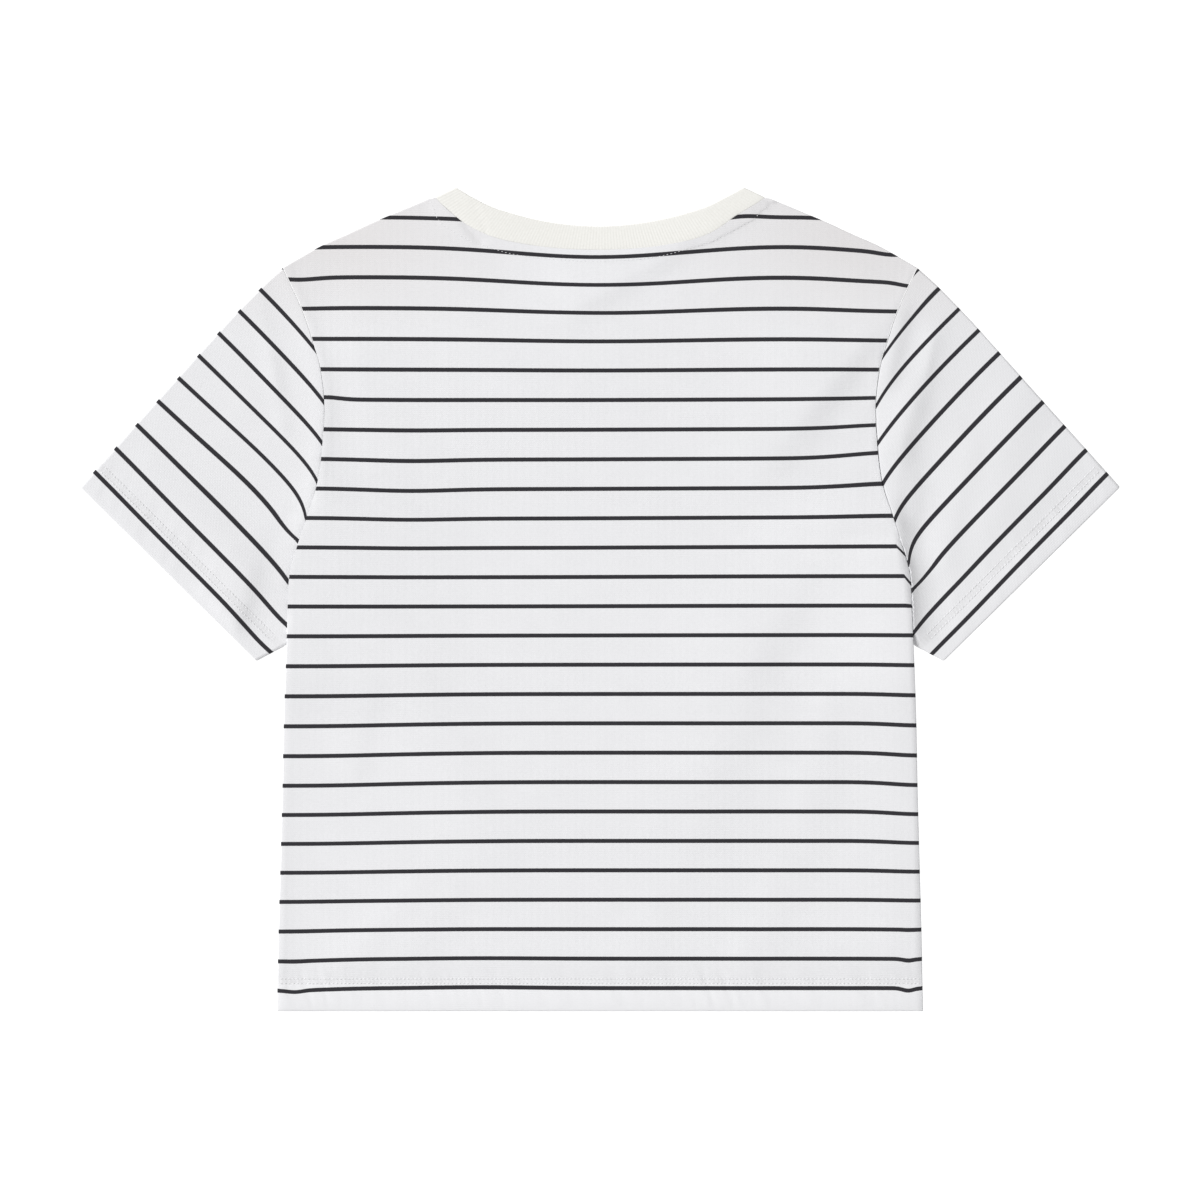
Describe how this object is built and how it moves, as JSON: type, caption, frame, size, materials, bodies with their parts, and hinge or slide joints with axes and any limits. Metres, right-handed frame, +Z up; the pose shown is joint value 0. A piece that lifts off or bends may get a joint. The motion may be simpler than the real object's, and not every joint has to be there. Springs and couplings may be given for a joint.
{
  "type": "crop top",
  "caption": "Short-sleeved boxy crop top in striped jersey, laid flat with its back up, with a folded rib neckband.",
  "frame": {"origin": "middle of the outline of the laid-out top, on the surface that it lies on", "axes": "+X towards the right sleeve as seen from above, +Y towards the neck, +Z up, out of the top's back"},
  "size_m": [0.6754, 0.5344, 0.0062],
  "materials": {
    "striped_jersey": "matt white cotton jersey with 2 mm near-black stripes every 19 mm",
    "ivory_rib": "matt ivory 1x1 cotton rib, folded double",
    "white_thread": "white sewing thread"
  },
  "bodies": {
    "root": {"back_panel": "striped_jersey", "front_panel": "striped_jersey", "sleeve_left": "striped_jersey", "sleeve_right": "striped_jersey", "neckband": "ivory_rib"}
  },
  "joints": []
}
